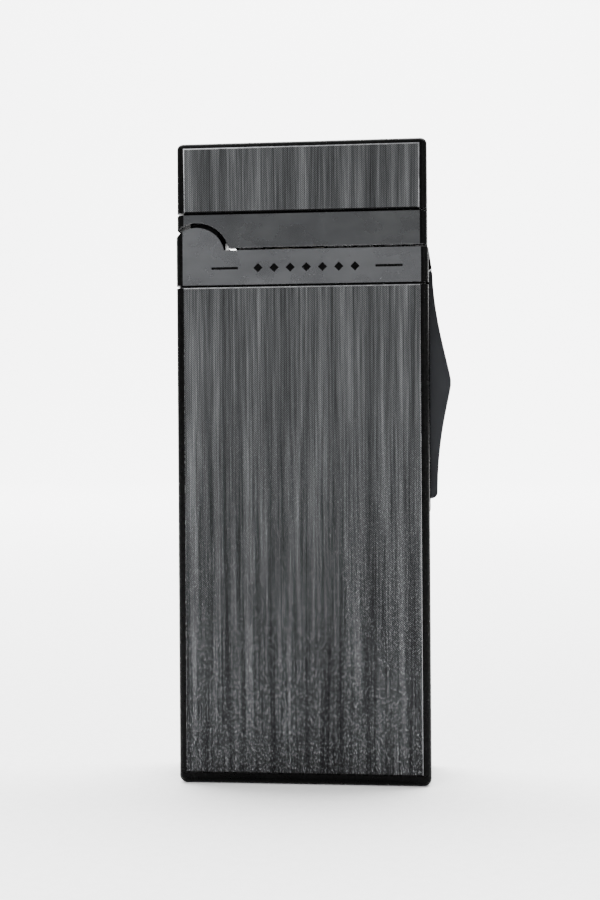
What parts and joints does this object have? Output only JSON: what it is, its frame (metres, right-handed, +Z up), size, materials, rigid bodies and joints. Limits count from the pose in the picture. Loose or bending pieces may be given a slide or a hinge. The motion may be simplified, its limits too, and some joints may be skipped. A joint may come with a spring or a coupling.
{
  "type": "pocket lighter",
  "caption": "Slim refillable pocket gas lighter: brushed dark metal case, plain collar, hinged lid raised by a sprung press lever in its side, burner and spark unit inside",
  "frame": {"origin": "middle of the flat underside, which stands on the table", "axes": "+Z up along the lighter's height, +X across the face toward the press lever, -Y out of the front face"},
  "size_m": [0.0297, 0.0104, 0.0696],
  "materials": {
    "dark_nickel": "brushed black nickel on brass, clear lacquer",
    "polished_nickel": "polished black nickel",
    "black_trim": "gloss black lacquer",
    "lever_nickel": "satin black nickel",
    "frame_steel": "stamped zinc-plated steel",
    "bright_steel": "bright steel",
    "valve_brass": "turned brass",
    "tank_plastic": "moulded acetal, translucent",
    "black_plastic": "moulded black plastic",
    "seal_rubber": "nitrile rubber",
    "hose_plastic": "soft tube",
    "ceramic": "fired ceramic",
    "foam": "open foam",
    "wire_red": "insulated wire"
  },
  "bodies": {
    "case": {"body_shell": "dark_nickel", "base_cap": "black_trim", "collar": "polished_nickel", "lever_bezel": "black_trim", "chassis": "frame_steel", "piezo_cradle": "frame_steel", "burner_deck": "bright_steel", "deck_screws": "bright_steel", "fuel_tank": "tank_plastic", "tank_closure": "tank_plastic", "filler_body": "valve_brass", "filler_gasket": "seal_rubber", "filler_spring": "bright_steel", "filler_seal": "seal_rubber", "adjuster_bush": "valve_brass", "metering_disc": "foam", "dip_tube": "hose_plastic", "outlet_body": "valve_brass", "outlet_gasket": "seal_rubber", "outlet_spring": "bright_steel", "gas_hose": "hose_plastic", "jet_orifice": "valve_brass", "burner_tube": "bright_steel", "flame_nozzle": "bright_steel", "burner_gauze": "frame_steel", "spark_electrode": "bright_steel", "spark_insulator": "ceramic", "ignition_wire": "wire_red", "piezo_case": "black_plastic", "piezo_crystal": "ceramic", "piezo_spring": "bright_steel", "hinge_pin": "bright_steel", "lever_pin": "bright_steel", "gas_lever_pin": "bright_steel"},
    "lid": {"lid_cap": "dark_nickel", "lid_frame": "polished_nickel", "crank_pin": "bright_steel"},
    "side_lever": {"side_lever": "lever_nickel"},
    "carriage": {"carriage": "frame_steel"},
    "spark_plunger": {"piezo_plunger": "black_plastic", "piezo_hammer": "bright_steel"},
    "gas_lever": {"gas_lever": "bright_steel"},
    "outlet_stem": {"outlet_stem": "valve_brass"},
    "filler_stem": {"filler_stem": "valve_brass"},
    "adjuster": {"adjuster_screw": "valve_brass"}
  },
  "joints": [
    {"name": "lid_hinge", "type": "hinge", "parent": "case", "child": "lid", "pos_m": [-0.0114, 0, 0.05725], "axis": [0, -1, 0], "range_deg": [0, 80], "stiffness_Nm_per_rad": 0.008, "springref_deg": -11.46},
    {"name": "side_lever_pivot", "type": "hinge", "parent": "case", "child": "side_lever", "pos_m": [0.0121, 0, 0.0537], "axis": [0, 1, 0], "range_deg": [0, 9]},
    {"name": "carriage_slide", "type": "slide", "parent": "case", "child": "carriage", "axis": [0, 0, 1], "range_m": [0, 0.0032]},
    {"name": "spark_plunger_slide", "type": "slide", "parent": "case", "child": "spark_plunger", "axis": [0, 0, 1], "range_m": [0, 0.0032], "deforming": ["piezo_spring"]},
    {"name": "gas_lever_pivot", "type": "hinge", "parent": "case", "child": "gas_lever", "pos_m": [-0.00413, 0, 0.03623], "axis": [0, -1, 0], "range_deg": [0, 29.43]},
    {"name": "outlet_stem_slide", "type": "slide", "parent": "case", "child": "outlet_stem", "axis": [0, 0, 1], "range_m": [0, 0.00102], "deforming": ["outlet_spring"]},
    {"name": "filler_stem_slide", "type": "slide", "parent": "case", "child": "filler_stem", "axis": [0, 0, 1], "range_m": [0, 0.0008], "stiffness_N_per_m": 500, "springref_m": -0.0004, "deforming": ["filler_spring"]},
    {"name": "adjuster_turn", "type": "hinge", "parent": "case", "child": "adjuster", "pos_m": [-0.0022, 0, 0.0005], "axis": [0, 0, 1], "range_deg": [-135, 135]}
  ],
  "couplings": [
    {"joint": "side_lever_pivot", "follows": "lid_hinge", "ratio": 0.1125},
    {"joint": "carriage_slide", "follows": "lid_hinge", "m_per_rad": 0.0022918},
    {"joint": "spark_plunger_slide", "follows": "lid_hinge", "m_per_rad": 0.0022918},
    {"joint": "gas_lever_pivot", "follows": "lid_hinge", "ratio": 0.36781},
    {"joint": "outlet_stem_slide", "follows": "lid_hinge", "m_per_rad": 0.00072756}
  ]
}
